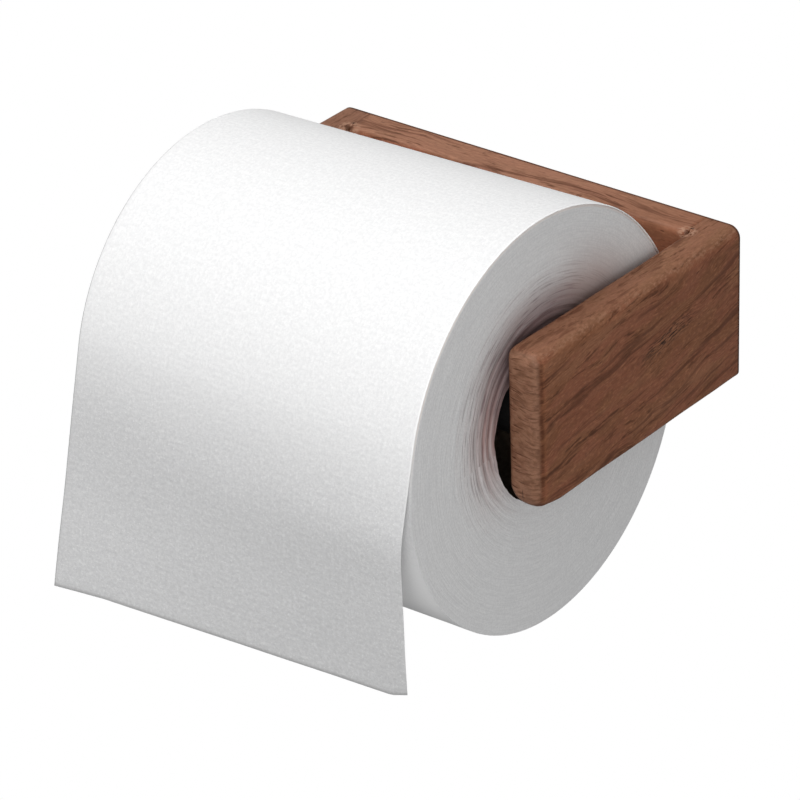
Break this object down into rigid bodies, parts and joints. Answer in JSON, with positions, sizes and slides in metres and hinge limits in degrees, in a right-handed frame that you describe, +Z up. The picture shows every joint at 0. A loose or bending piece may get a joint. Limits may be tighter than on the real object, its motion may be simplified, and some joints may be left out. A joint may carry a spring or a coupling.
{
  "type": "toilet paper holder",
  "caption": "Wall-mounted wooden toilet paper holder: an open U-shaped frame with a sprung spindle and a paper roll.",
  "frame": {"origin": "centre of the back board's wall face", "axes": "+X to the right along the board, +Y into the wall, +Z up"},
  "size_m": [0.123, 0.1522, 0.1082],
  "materials": {
    "frame_wood": "oiled dark open-grained wood",
    "dowel_wood": "plain pale dowel",
    "screw_steel": "zinc plated",
    "spindle_plastic": "black moulded",
    "spring_steel": "drawn wire",
    "core_cardboard": "spiral-wound dark grey-brown board",
    "tissue_paper": "creped tissue"
  },
  "bodies": {
    "frame": {"back_board": "frame_wood", "left_arm": "frame_wood", "right_arm": "frame_wood", "corner_dowel_left_1": "dowel_wood", "corner_dowel_left_2": "dowel_wood", "corner_dowel_right_1": "dowel_wood", "corner_dowel_right_2": "dowel_wood", "wall_screw_left": "screw_steel", "wall_screw_right": "screw_steel"},
    "spindle": {"spindle_barrel": "spindle_plastic", "spindle_spring": "spring_steel"},
    "plunger": {"spindle_plunger": "spindle_plastic"},
    "roll": {"cardboard_core": "core_cardboard", "paper_roll": "tissue_paper"},
    "sheet": {"hanging_sheet": "tissue_paper"}
  },
  "joints": [
    {"name": "spindle_turn", "type": "hinge", "parent": "frame", "child": "spindle", "pos_m": [0, -0.0644, 0], "axis": [1, 0, 0], "continuous": true},
    {"name": "plunger_press", "type": "slide", "parent": "spindle", "child": "plunger", "axis": [1, 0, 0], "range_m": [0, 0.008], "stiffness_N_per_m": 300, "springref_m": -0.03, "deforming": ["spindle_spring"]},
    {"name": "roll_turn", "type": "hinge", "parent": "frame", "child": "roll", "pos_m": [0, -0.0644, -0.0086], "axis": [0.9997, 0, 0.0262], "continuous": true},
    {"name": "sheet_swing", "type": "hinge", "parent": "frame", "child": "sheet", "pos_m": [-0.00034, -0.11621, 0.00431], "axis": [-0.9997, 0, -0.0262], "range_deg": [0, 70]}
  ]
}
